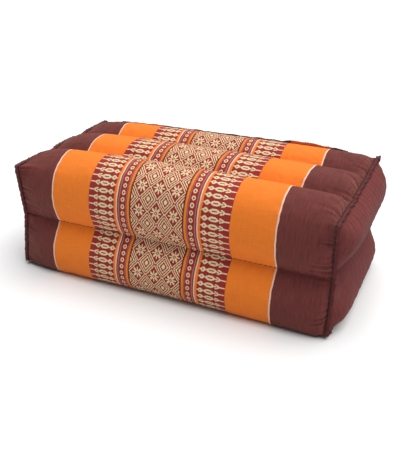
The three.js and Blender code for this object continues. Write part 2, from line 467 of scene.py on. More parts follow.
@dataclass(frozen=True)
class PaleFloor:
    """Matt painted board, nearly white, with the faint mottle of a roller."""

    colour: str = "e8e8e8"
    mottle: float = 30.0  # width of a patch

    def material(self) -> Material:
        """Makes the material, which reads Object coordinates.

        Returns:
            The material of the floor.
        """
        nodes = Nodes("Matt white paint")
        where = nodes.add("TexCoord")["Object"]
        patches = nodes.add("TexNoise", {"Vector": where, "Scale": 1 / (self.mottle * MM)})[0]
        return nodes.finish({
            "Base Color": linear(self.colour), "Specular IOR Level": 0.1,
            "Roughness": nodes.add("MapRange", {0: patches, 3: 0.88, 4: 0.96})[0]})


def run_along(line: np.ndarray) -> np.ndarray:
    """Length of a line up to each of its points."""
    return np.concatenate([[0], np.cumsum(np.linalg.norm(np.diff(line, axis=0), axis=1))])


def unit(vectors: np.ndarray) -> np.ndarray:
    """Directions of the vectors."""
    return vectors / np.linalg.norm(vectors, axis=1, keepdims=True)


def even_spline(points: Sequence[Sequence[float]], steps: int) -> np.ndarray:
    """Points spaced evenly along a smooth curve.

    Args:
        points: what the curve passes through.
        steps: how many points to give.

    Returns:
        The points in order, with the last end of the curve left out.
    """
    known = np.array([points[0], *points, points[-1]], float)
    dense_steps = 60
    t = np.linspace(0, 1, dense_steps, endpoint=False)[:, None]
    parts = []
    for p0, p1, p2, p3 in zip(known, known[1:], known[2:], known[3:]):
        v0, v1 = (p2 - p0) / 2, (p3 - p1) / 2
        parts.append(
            (2 * p1 - 2 * p2 + v0 + v1) * t ** 3 + (3 * p2 - 3 * p1 - 2 * v0 - v1) * t ** 2 + v0 * t + p1)
    dense = np.vstack([*parts, known[-1:]])
    run = run_along(dense)
    wanted = np.linspace(0, run[-1], steps, endpoint=False)
    return np.stack([np.interp(wanted, run, dense[:, k]) for k in range(2)], -1)


def straight_legs(points: Sequence[Sequence[float]], steps: int) -> np.ndarray:
    """Points spaced evenly along each leg of a bent line.

    Args:
        points: the line's corners and ends.
        steps: how many points to give.

    Returns:
        The points in order, with the last end of the line left out.
    """
    along = np.arange(steps) / steps * (len(points) - 1)
    known = np.array(points, float)
    return np.stack([np.interp(along, np.arange(len(points)), known[:, k]) for k in range(2)], -1)


def mirrored(points: Sequence[Sequence[float]]) -> list[tuple[float, float]]:
    """The tube seen in a mirror that swaps front and back, taken in the same sense round the block."""
    return [(-y, z) for y, z in reversed(points)]


@dataclass(frozen=True)
class CoverShape:
    """Sizes of the sewn cover, as in the part's source, and the surfaces that follow from them."""

    length: float = 336.0  # between the end seams
    mid_height: float = 58.0
    end_top: float = 114.5
    end_foot: float = 5.0
    end_half_depth: float = 87.5
    foot_half_depth: float = 90.0
    end_waist: float = 81.5
    crown: float = 3.5
    back_rise: float = 4.0  # twist of the top: how much higher its right back corner lies
    left_fullness: float = 13.0  # the higher, the nearer to the end a tube stays full
    right_fullness: float = 40.0
    upper_bulge: float = 19.0
    lower_bulge: float = 16.0
    upper_rise: float = 1.4  # the swells are fullest near the upper and lower edges
    lower_sag: float = 2.1
    crease_softness: float = 0.006
    fold_depth: float = 7.0  # how far the fold between them is drawn in
    fold_width: float = 0.16
    bulge_squareness: float = 8.0
    corner_seam: float = 29.0  # distance of the channels on the top and the underside from the middle
    seam_dip: float = 3.0  # how far the end seam is drawn down where a channel meets it
    dip_width: float = 9.0
    closing_share: float = 5 / 14  # of the way across the upper back tube, just behind its crest
    corner_steps: int = 42
    middle_steps: int = 22
    along_steps: int = 84
    end_closeness: float = 0.25  # how much closer these steps lie near the ends

    UPPER_FRONT = ((-81, 58), (-90, 82), (-81, 112), (-53, 127.5), (-29, 113))
    UPPER_MIDDLE = ((-29, 113), (-16, 124.5), (0, 128), (16, 124.5), (29, 113))
    LOWER_BACK = ((81, 58), (97, 31), (91, 1), (54, -4), (29, 8))
    LOWER_MIDDLE = ((29, 8), (16, -1), (0, -4), (-16, -1), (-29, 8))

    @property
    def depth_steps(self) -> int:
        """Steps along an end panel's upper edge."""
        return self.corner_steps + self.middle_steps

    @property
    def around(self) -> int:
        """Steps round the block."""
        return 2 * (self.corner_steps + self.depth_steps)

    @property
    def corner_lead(self) -> int:
        """Steps from the closing seam down to the upper back corner of an end."""
        return self.corner_steps // 2 - round(self.closing_share * self.corner_steps)

    @property
    def channels(self) -> list[int]:
        """The steps round the block where the wrap is sewn down.

        Returns:
            One on the back, two underneath, one on the front and two on top.
        """
        back = self.corner_lead + self.corner_steps // 2
        low = back + self.corner_steps
        front = back + self.corner_steps + self.depth_steps
        high = front + self.corner_steps
        return [back, low, low + self.middle_steps, front, high, high + self.middle_steps]

    def _from_closing_seam(self, tubes: list[np.ndarray]) -> np.ndarray:
        """Joins the tubes' outlines.

        Args:
            tubes: points of each tube, from the upper front one on.

        Returns:
            One line round the block that starts and ends at the closing seam.
        """
        start = self.depth_steps + round(self.closing_share * self.corner_steps)
        line = np.roll(np.vstack(tubes), -start, axis=0)
        return np.vstack([line, line[:1]])

    def full_outline(self) -> np.ndarray:
        """Section through the filled tubes as rows of y and z, from the closing seam down the back."""
        corner, middle = self.corner_steps, self.middle_steps
        return self._from_closing_seam([
            even_spline(self.UPPER_FRONT, corner), even_spline(self.UPPER_MIDDLE, middle),
            even_spline(mirrored(self.UPPER_FRONT), corner), even_spline(self.LOWER_BACK, corner),
            even_spline(self.LOWER_MIDDLE, middle), even_spline(mirrored(self.LOWER_BACK), corner),
        ])

    def sewn_outline(self) -> np.ndarray:
        """The end seam, drawn down a little where a channel meets it.

        Returns:
            Rows of y and z, from the closing seam down the back.
        """
        top, foot, seam = self.end_top, self.end_foot, self.corner_seam
        upper = ((-self.end_waist, self.mid_height), (-self.end_half_depth, top), (-seam, top))
        lower = ((self.end_waist, self.mid_height), (self.foot_half_depth, foot), (seam, foot))
        corner, middle = self.corner_steps, self.middle_steps
        line = self._from_closing_seam([
            straight_legs(upper, corner), straight_legs(((-seam, top), (seam, top)), middle),
            straight_legs(mirrored(upper), corner), straight_legs(lower, corner),
            straight_legs(((seam, foot), (-seam, foot)), middle), straight_legs(mirrored(lower), corner),
        ])
        away = (np.abs(line[:, 0]) - seam) / self.dip_width
        line[:, 1] -= (line[:, 1] > top - TOUCH) * self.seam_dip * np.exp(-away ** 2)
        return line

    def rise_share(self, z: np.ndarray) -> np.ndarray:
        """Share of the way from mid height (0) to the upper or lower edge of an end (1)."""
        edge = np.where(z >= self.mid_height, self.end_top, self.end_foot)
        return np.minimum(1, np.abs(z - self.mid_height) / np.abs(edge - self.mid_height))

    def half_depth(self, z: np.ndarray) -> np.ndarray:
        """Half the depth of an end between its seams, at any height."""
        corner = np.where(z >= self.mid_height, self.end_half_depth, self.foot_half_depth)
        return self.end_waist + (corner - self.end_waist) * self.rise_share(z)

    def end_reach(self, y: np.ndarray, z: np.ndarray) -> np.ndarray:
        """Distance of the filled end from the middle: two swells with a fold between them.

        Args:
            y: places across the end.
            z: heights on the end.

        Returns:
            The distance at each place.
        """
        share = self.rise_share(z)
        upper = z >= self.mid_height
        across = 1 - np.minimum(1, np.abs(y) / self.half_depth(z)) ** self.bulge_squareness
        height = share ** np.where(upper, self.upper_rise, self.lower_sag)
        up = 4 * height * (1 - height)
        soft = np.sqrt(up * up + self.crease_softness) - math.sqrt(self.crease_softness)
        swell = np.where(upper, self.upper_bulge, self.lower_bulge)
        fold = self.fold_depth * np.exp(-(share / self.fold_width) ** 2)
        return self.length / 2 + (swell * soft - fold) * across

    def twisted(self, points: np.ndarray) -> np.ndarray:
        """Raises points with the twist of the top.

        Args:
            points: x, y and z in the last axis.

        Returns:
            The raised points.
        """
        x, y, z = np.moveaxis(points, -1, 0)
        back = np.clip(y / self.end_half_depth, 0, 1)
        over = np.clip(z / self.mid_height - 1, 0, 1)
        right = np.maximum(0, x / (self.length / 2))
        return np.stack([x, y, z + self.back_rise * right * back * over], -1)

    def shares(self) -> np.ndarray:
        """Places along the wrap, from -1 at the left end seam to 1 at the right, closer near the ends."""
        t = np.linspace(-1, 1, self.along_steps + 1)
        return (1 + self.end_closeness) * t - self.end_closeness * t ** 3

    def wrap(self) -> np.ndarray:
        """The sewn wrap.

        Returns:
            Points by step round the block and place along it.
        """
        shares, full, sewn = self.shares(), self.full_outline(), self.sewn_outline()
        taper = np.abs(shares) ** np.where(shares < 0, self.left_fullness, self.right_fullness)
        section = full[:, None] + (sewn - full)[:, None] * taper[None, :, None]
        over = np.clip(section[..., 1] / self.mid_height - 1, 0, 1)
        lift = self.crown * (1 - shares ** 2)[None] * over
        x = np.broadcast_to(shares * self.length / 2, section.shape[:2])
        return self.twisted(np.stack([x, section[..., 0], np.maximum(0, section[..., 1] + lift)], -1))

    def end(self, side: Side) -> np.ndarray:
        """One end, spread between the four sides of its seam.

        Args:
            side: which end.

        Returns:
            Points by row from the foot up, and by place from front to back, or the other way on the left.
        """
        depth, height = self.depth_steps, self.corner_steps
        sewn = np.roll(self.sewn_outline()[:-1], -self.corner_lead, axis=0)
        sewn = np.vstack([sewn, sewn[:1]])
        back = sewn[height::-1]
        foot = sewn[height + depth:height - 1:-1]
        front = sewn[height + depth:2 * height + depth + 1]
        top = sewn[2 * height + depth:]
        s = np.linspace(0, 1, depth + 1)[None, :, None]
        t = np.linspace(0, 1, height + 1)[:, None, None]
        sides = (1 - t) * foot[None] + t * top[None] + (1 - s) * front[:, None] + s * back[:, None]
        corners = (
            (1 - t) * ((1 - s) * foot[0] + s * foot[-1]) + t * ((1 - s) * top[0] + s * top[-1]))
        flat = sides - corners
        x = self.end_reach(flat[..., 0], flat[..., 1])
        for edge in (np.s_[0], np.s_[-1], np.s_[:, 0], np.s_[:, -1]):
            x[edge] = self.length / 2
        made = self.twisted(np.concatenate([side.value * x[..., None], flat], -1))
        return made if side is Side.RIGHT else made[:, ::-1]


def lay_grid(bm: BMesh, places: np.ndarray, cloth: np.ndarray | None = None) -> Cells:
    """Adds a grid of faces and moves its corners into place.

    Args:
        bm: the mesh to add to.
        places: points in millimetres, by row and column.
        cloth: UV in millimetres, by row and column.

    Returns:
        The row and column of each new vertex.
    """
    rows, columns = places.shape[0] - 1, places.shape[1] - 1
    made = bmesh.ops.create_grid(bm, x_segments=columns, y_segments=rows, size=1.0)["verts"]
    cells = {
        v: (round((v.co.y + 1) / 2 * rows), round((v.co.x + 1) / 2 * columns)) for v in made}
    if cloth is not None:
        layer = bm.loops.layers.uv[CLOTH]
        for v, cell in cells.items():
            for loop in v.link_loops:
                loop[layer].uv = cloth[cell]
    for v, cell in cells.items():
        v.co = Vector(places[cell]) * MM
    return cells


def sweep(
    bm: BMesh, path: np.ndarray, aside: np.ndarray, radius: float, sides: int, closed: bool,
) -> None:
    """Adds a round thread along a path.

    Args:
        bm: the mesh to add to.
        path: points of the thread's middle, in millimetres.
        aside: for each point, a direction that isn't along the thread.
        radius: of the thread, which comes to a point at a free end.
        sides: of its section.
        closed: whether the thread's end meets its start.
    """
    ahead = unit(np.roll(path, -1, 0) - np.roll(path, 1, 0) if closed else np.gradient(path, axis=0))
    first = unit(aside - ahead * np.sum(aside * ahead, 1, keepdims=True))
    second = np.cross(ahead, first)
    turn = np.linspace(0, FULL_TURN, sides + 1)[:, None, None]
    reach = np.full((len(path), 1), radius)
    if not closed:
        reach[[0, -1]] = 0
    places = path[None] + reach * (np.cos(turn) * first[None] + np.sin(turn) * second[None])
    if closed:
        places = np.concatenate([places, places[:, :1]], 1)
    bmesh.ops.remove_doubles(bm, verts=list(lay_grid(bm, places)), dist=MERGE * MM)


def read(items: Any, name: str, width: int = 1, kind: type = float) -> np.ndarray:
    """Reads one value of each vertex, face or other item of a mesh.

    Args:
        items: the mesh's collection.
        name: of the value.
        width: how many numbers it has.
        kind: of number.

    Returns:
        The numbers, in rows if there is more than one to an item.
    """
    found = np.zeros(len(items) * width, kind)
    items.foreach_get(name, found)
    return found.reshape(-1, width) if width > 1 else found


def move(mesh: Mesh, places: np.ndarray) -> None:
    """Puts the points of a mesh in new places, in metres."""
    mesh.vertices.foreach_set("co", places.ravel())
    mesh.update()


def finish_mesh(name: str, bm: BMesh, materials: Sequence[Material]) -> Piece:
    """Turns a bmesh into an object of the scene with smooth faces.

    Args:
        name: of the object and its mesh.
        bm: the mesh, which is freed.
        materials: the object's material slots.

    Returns:
        The new object.
    """
    mesh = bpy.data.meshes.new(name)
    bm.to_mesh(mesh)
    bm.free()
    for material in materials:
        mesh.materials.append(material)
    mesh.polygons.foreach_set("use_smooth", [True] * len(mesh.polygons))
    return place_mesh(mesh)


def subdivided(name: str, bm: BMesh, material: Material) -> Mesh:
    """Smooths a mesh by one level of subdivision.

    Args:
        name: of the new mesh.
        bm: the coarse mesh, which is freed.
        material: of all its faces.

    Returns:
        The fine mesh.
    """
    coarse = finish_mesh(name + "_coarse", bm, [material])
    modifier = coarse.modifiers.new("Smooth cloth", "SUBSURF")
    modifier.levels = modifier.render_levels = 1
    fine = bpy.data.meshes.new_from_object(coarse.evaluated_get(bpy.context.evaluated_depsgraph_get()))
    bpy.data.objects.remove(coarse)
    fine.name = name
    return fine


def place_mesh(mesh: Mesh) -> Piece:
    """Puts a mesh into the scene.

    Args:
        mesh: what to show.

    Returns:
        An object of the same name.
    """
    made = bpy.data.objects.new(mesh.name, mesh)
    bpy.context.scene.collection.objects.link(made)
    LOG.info("%s: %d faces", mesh.name, len(mesh.polygons))
    return made


def swell_near(distance: np.ndarray, peak: float) -> np.ndarray:
    """Nothing on a seam, 1 at the peak's distance from it, and fading further out."""
    share = np.maximum(distance, 0) / peak
    return share * np.exp(1 - share)


@dataclass
class Filling:
    """How the filling presses the cover out, for the cloth simulation."""

    frames: int = 24
    most: float = 3.0  # millimetres that a point may move

    # Values of the cloth settings, by their names there.
    SETTINGS = {
        "quality": 6, "mass": 0.3, "use_pressure": True, "uniform_pressure_force": 8.0,
        "tension_stiffness": 60.0, "compression_stiffness": 60.0, "shear_stiffness": 20.0,
        "bending_stiffness": 0.4, "tension_damping": 5.0, "compression_damping": 5.0,
        "shear_damping": 5.0, "bending_damping": 0.5, "air_damping": 1.0,
    }

    def press(self, mesh: Mesh, cut: np.ndarray, sewn: Sequence[int]) -> np.ndarray:
        """Blows the cover up from the shape it is sewn in.

        Args:
            mesh: the sewn cover.
            cut: its points as the cloth was cut, in metres, which set its size.
            sewn: numbers of the points that seams hold.

        Returns:
            The points of the filled cover, in metres.
        """
        trial = bpy.data.objects.new("trial", mesh.copy())
        scene = bpy.context.scene
        scene.collection.objects.link(trial)
        trial.shape_key_add(name="Sewn")
        flat = trial.shape_key_add(name="Cut")
        flat.data.foreach_set("co", cut.astype(np.float32).ravel())
        trial.vertex_groups.new(name="Held").add([int(n) for n in sewn], 1.0, "REPLACE")
        modifier = trial.modifiers.new("Filling", "CLOTH")
        settings = modifier.settings
        settings.vertex_group_mass = "Held"
        settings.rest_shape_key = flat
        for name, value in self.SETTINGS.items():
            setattr(settings, name, value)
        settings.effector_weights.gravity = 0.0
        modifier.collision_settings.use_collision = False
        modifier.collision_settings.use_self_collision = False
        modifier.point_cache.frame_start, modifier.point_cache.frame_end = 1, self.frames + 1
        for number in range(1, self.frames + 1):
            scene.frame_set(number)
        result = bpy.data.meshes.new_from_object(
            trial.evaluated_get(bpy.context.evaluated_depsgraph_get()))
        start = read(mesh.vertices, "co", 3)
        moved = read(result.vertices, "co", 3) - start
        far = np.linalg.norm(moved, axis=1, keepdims=True)
        LOG.info("filling moved the cover by up to %.1f mm", far.max() / MM)
        bpy.data.objects.remove(trial)
        scene.frame_set(1)
        still = 1e-9  # metres, so that nothing is divided by zero
        return start + moved * np.minimum(1, self.most * MM / np.maximum(far, still))


@dataclass
class PaddedBlock:
    """The filled cover: wrap and swollen ends, sewn down in channels."""

    shape: CoverShape
    filling: Filling
    slack: float = 1.015  # cloth to spare round the tubes
    cut_length: float = 356.0  # of the wrap, straight
    middle_shift: float = 5.0  # the pattern's middle lies this far to the left on the front
    top_skew: tuple[float, float] = (6.0, 7.0)  # its straying to the right on the second and third tube
    unevenness: float = 0.25  # of the hand-stuffed surface
    stuffing_seed: int = 7
    channel_crease: float = 0.8  # sharpness of a sewn channel
    sewing_reach: float = 0.05  # distance over which wrap and ends are joined
    pucker: float = 0.7  # height of the ripples that stitching draws up
    pucker_pitches: tuple[float, ...] = (7.7, 11.0, 15.73)
    pucker_peak: float = 3.0  # distance from the channel where they stand highest
    pucker_reach: float = 40.0  # distance where they end
    gather: float = 2.6  # height of the gathers at the end seams
    gather_pitch: float = 6.4
    gather_peak: float = 3.8  # distance from the seam where they stand highest
    gather_base: float = 0.6  # height in a gather that lies level with the cloth
    gather_wander: tuple[float, float] = (23.0, 41.0)  # lengths over which their pitch strays
    gather_swing: float = 5.0  # length over which their size strays
    gather_uneven: float = 0.35  # share of the height that strays
    peak_uneven: float = 0.3  # share of the peak's distance that strays
    ripple_seed: int = 5

    def cloth_run(self) -> np.ndarray:
        """Length of cloth from the closing seam to each step round the block."""
        return run_along(self.shape.full_outline())

    def pattern_shift(self) -> np.ndarray:
        """The pattern's straying, from the front over the top.

        Returns:
            How far the pattern's middle lies to the left at each step round the block.
        """
        shape = self.shape
        front, valley = shape.channels[3:5]
        steps = [front, valley - shape.corner_steps // 4, valley + shape.middle_steps // 2, shape.around]
        return self.middle_shift - np.interp(np.arange(shape.around + 1), steps, (0, 0, *self.top_skew))

    def build(self) -> Mesh:
        """Makes the cover's mesh: an open wrap and two ends, sewn together after the filling.

        Returns:
            The mesh, with the Cloth UV map and a face attribute that tells wrap and ends apart.
        """
        shape = self.shape
        bm = bmesh.new()
        bm.loops.layers.uv.new(CLOTH)
        cut_layer = bm.verts.layers.float_vector.new("cut")
        step_layer = bm.verts.layers.int.new("step")
        kind_layer = bm.faces.layers.int.new("kind")
        wrap, shares = shape.wrap(), shape.shares()
        outline = shape.full_outline()
        u, v = np.meshgrid(shares * shape.length / 2, self.cloth_run())
        u = u + self.pattern_shift()[:, None]
        cells = lay_grid(bm, wrap, np.stack([u, v], -1))
        middle = np.array([0, shape.mid_height])
        for vert, (row, column) in cells.items():
            y, z = (outline[row] - middle) * self.slack + middle
            vert[cut_layer] = Vector((shares[column] * self.cut_length / 2, y, z)) * MM
            vert[step_layer] = row % shape.around
        closing = [vert for vert, (row, _) in cells.items() if row in (0, shape.around)]
        for side, kind in ((Side.LEFT, LEFT_FACES), (Side.RIGHT, RIGHT_FACES)):
            places = shape.end(side)
            known = set(bm.faces)
            cells = lay_grid(bm, places, places[..., 1:] * np.array([side.value, 1]))
            for vert, (row, _) in cells.items():
                vert[cut_layer] = vert.co
                vert[step_layer] = -1 - row
            for face in set(bm.faces) - known:
                face[kind_layer] = kind
        bmesh.ops.remove_doubles(bm, verts=closing, dist=TOUCH * MM)
        mesh = bpy.data.meshes.new("cover")
        bm.to_mesh(mesh)
        bm.free()
        return mesh

    def fill(self, mesh: Mesh) -> None:
        """Fills the cover and sets it on the floor.

        Args:
            mesh: the sewn cover, whose points are moved.
        """
        shape = self.shape
        count = len(mesh.vertices)
        places, steps = read(mesh.vertices, "co", 3), read(mesh.attributes["step"].data, "value", kind=int)
        uses = np.zeros(len(mesh.edges), int)
        np.add.at(uses, read(mesh.loops, "edge_index", kind=int), 1)
        open_edge = np.zeros(count, bool)
        open_edge[read(mesh.edges, "vertices", 2, int)[uses == 1].ravel()] = True
        on_channel = np.isin(steps, shape.channels)
        on_crease = steps == -1 - shape.corner_steps // 2
        held = np.flatnonzero(open_edge | on_channel | on_crease)
        random = np.random.default_rng(self.stuffing_seed)
        free = np.ones(count)
        free[held] = 0
        start = places + (random.normal(0, self.unevenness, (count, 3)) * free[:, None]) * MM
        mesh.vertices.foreach_set("co", start.ravel())
        places = self.filling.press(mesh, read(mesh.attributes["cut"].data, "vector", 3), held)
        places[:, 2] = np.maximum(places[:, 2], 0)
        move(mesh, places)

    def seam_line(self, mesh: Mesh, step: int) -> tuple[np.ndarray, np.ndarray, np.ndarray]:
        """A line of the cover along the tubes.

        Args:
            mesh: the filled cover.
            step: which line, counted round the block from the closing seam.

        Returns:
            Its points in millimetres from left to right, and the directions across it and outwards.
        """
        places = read(mesh.vertices, "co", 3) / MM
        steps = read(mesh.attributes["step"].data, "value", kind=int)
        lines = []
        for number in (step - 1, step, step + 1):
            line = places[steps == number % self.shape.around]
            lines.append(line[np.argsort(line[:, 0])])
        across = lines[2] - lines[0]
        across[:, 0] = 0
        across = unit(across)
        return lines[1], across, np.stack([np.zeros(len(across)), -across[:, 2], across[:, 1]], -1)

    def sew(self, mesh: Mesh) -> BMesh:
        """Joins wrap and ends along the end seams, and marks the seams as sharp folds.

        Args:
            mesh: the filled cover.

        Returns:
            A closed bmesh.
        """
        bm = bmesh.new()
        bm.from_mesh(mesh)
        step_layer = bm.verts.layers.int["step"]
        kind_layer = bm.faces.layers.int["kind"]
        bmesh.ops.remove_doubles(bm, verts=bm.verts[:], dist=self.sewing_reach * MM)
        crease = bm.edges.layers.float.new("crease_edge")
        channels = set(self.shape.channels)
        for edge in bm.edges:
            steps = {vert[step_layer] for vert in edge.verts}
            kinds = {face[kind_layer] for face in edge.link_faces}
            if len(kinds) > 1:
                edge[crease] = 1.0
            elif len(steps) == 1 and steps <= channels:
                edge[crease] = self.channel_crease
        return bm

    def ripple(self, mesh: Mesh) -> None:
        """Draws up small folds along the seams: puckers on the channels and gathers at the ends.

        Args:
            mesh: the subdivided cover, whose points are moved.
        """
        shape = self.shape
        count = len(mesh.vertices)
        corners = read(mesh.loops, "vertex_index", kind=int)
        kinds = read(mesh.attributes["kind"].data, "value", kind=int)
        on_wrap = np.repeat(kinds, read(mesh.polygons, "loop_total", kind=int)) == WRAP_FACES
        cloth = np.zeros((count, 2))
        cloth[corners[on_wrap]] = read(mesh.uv_layers[CLOTH].uv, "vector", 2)[on_wrap]
        wrapped = np.zeros(count, bool)
        wrapped[corners[on_wrap]] = True
        run = self.cloth_run()
        around = cloth[:, 1]
        along = cloth[:, 0] - np.interp(around, run, self.pattern_shift())
        random = np.random.default_rng(self.ripple_seed)
        lift = np.zeros(count)
        for step in shape.channels:
            away = np.abs(around - run[step])
            waves = sum(
                np.sin(along * FULL_TURN / pitch + random.uniform(0, FULL_TURN))
                for pitch in self.pucker_pitches) / len(self.pucker_pitches)
            lift += self.pucker * waves * swell_near(away, self.pucker_peak) * (away < self.pucker_reach)
        from_end = shape.length / 2 - np.abs(along)
        wander = sum(
            np.sin(around * FULL_TURN / length + np.sign(along) * random.uniform(0, FULL_TURN))
            for length in self.gather_wander)
        fold = np.abs(np.sin(around * math.pi / self.gather_pitch + wander)) - self.gather_base
        size = np.sin(around / self.gather_swing + 2 * wander)
        depth = self.gather * (1 - self.gather_uneven + self.gather_uneven * size)
        lift += depth * fold * swell_near(from_end, self.gather_peak * (1 + self.peak_uneven * size))
        lift *= wrapped
        moved = read(mesh.vertices, "co", 3) + read(mesh.vertices, "normal", 3) * lift[:, None] * MM
        moved[:, 2] = np.maximum(moved[:, 2], 0)
        move(mesh, moved)

    def dress(self, bm: BMesh, wrap: Material) -> Piece:
        """Makes the padded piece.

        Args:
            bm: the closed cover.
            wrap: the wrap's material.

        Returns:
            The piece.
        """
        fine = subdivided("padded_block", bm.copy(), wrap)
        self.ripple(fine)
        piece = place_mesh(fine)
        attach(piece, "root")
        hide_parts("cushion")
        return piece


@dataclass
class EndPanel:
    """The plain cloth sewn over one end of the block."""

    side: Side
    lift: float = 0.4  # off the filling
    thickness: float = 1.2
    flat: tuple[float, float] = (190.0, 140.0)  # width and height that it was cut to
    gather: float = 0.7  # height of the gathers along its seam
    gather_pitch: float = 7.5
    gather_peak: float = 4.0  # distance from the seam where they stand highest
    gather_wander: tuple[float, float] = (5.3, 6.7)  # lengths over which their pitch strays, by y and z
    gather_stray: float = 1.1  # radians
    side_gather: float = 0.6  # height of those up the sides, as a share of those along the top
    gather_start: float = 4.0  # distance over which they rise from the seam

    def build(self, shape: CoverShape, cover: BMesh, cotton: Material) -> Piece:
        """Makes the panel from the faces of the cover's end.

        Args:
            shape: the sewn cover's sizes.
            cover: the closed cover.
            cotton: the panel's material.

        Returns:
            The piece.
        """
        bm = cover.copy()
        kind_layer = bm.faces.layers.int["kind"]
        wanted = LEFT_FACES if self.side is Side.LEFT else RIGHT_FACES
        others = [face for face in bm.faces if face[kind_layer] != wanted]
        bmesh.ops.delete(bm, geom=others, context="FACES")
        fine = subdivided("end_cloth_" + self.side.word, bm, cotton)
        places, normals = read(fine.vertices, "co", 3), read(fine.vertices, "normal", 3)
        y, z = places[:, 1] / MM, places[:, 2] / MM
        above, beside = shape.end_top - z, shape.half_depth(z) - np.abs(y)
        turns = FULL_TURN / self.gather_pitch
        top_fold, side_fold = (
            0.5 + 0.5 * np.sin(run * turns + self.gather_stray * np.sin(run / wander))
            for run, wander in zip((y, z), self.gather_wander))
        lift = self.gather * np.maximum(
            top_fold * swell_near(above, self.gather_peak),
            self.side_gather * side_fold * swell_near(beside, self.gather_peak))
        lift *= np.clip(np.minimum(above, beside) / self.gather_start, 0, 1)
        move(fine, places + normals * (self.lift + lift)[:, None] * MM)
        piece = place_mesh(fine)
        thick = piece.modifiers.new("Cloth thickness", "SOLIDIFY")
        thick.thickness = self.thickness * MM
        thick.offset = 1.0
        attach(piece, "root")
        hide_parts("end_panel_" + self.side.word)
        return piece


@dataclass(frozen=True)
class SeamLine:
    """A seam, point by point, and the two directions that its allowance is built on."""

    base: np.ndarray
    rise: np.ndarray  # in which the allowance stands
    across: np.ndarray  # of its thickness
    heights: np.ndarray
    closed: bool

    def run(self) -> np.ndarray:
        """Length of the seam up to each point, and back to the first point if the seam is closed."""
        return run_along(np.vstack([self.base, self.base[:1]]) if self.closed else self.base)

    def spread(self, wanted: np.ndarray) -> tuple[np.ndarray, np.ndarray, np.ndarray, np.ndarray]:
        """Points, rises, directions across and heights at any lengths along the seam.

        Args:
            wanted: lengths from the seam's start.

        Returns:
            One row for each length.
        """
        run = self.run()
        found = []
        for line in (self.base, self.rise, self.across, self.heights[:, None]):
            line = np.vstack([line, line[:1]]) if self.closed else line
            found.append(np.stack([np.interp(wanted, run, column) for column in line.T], -1))
        return found[0], found[1], found[2], found[3]


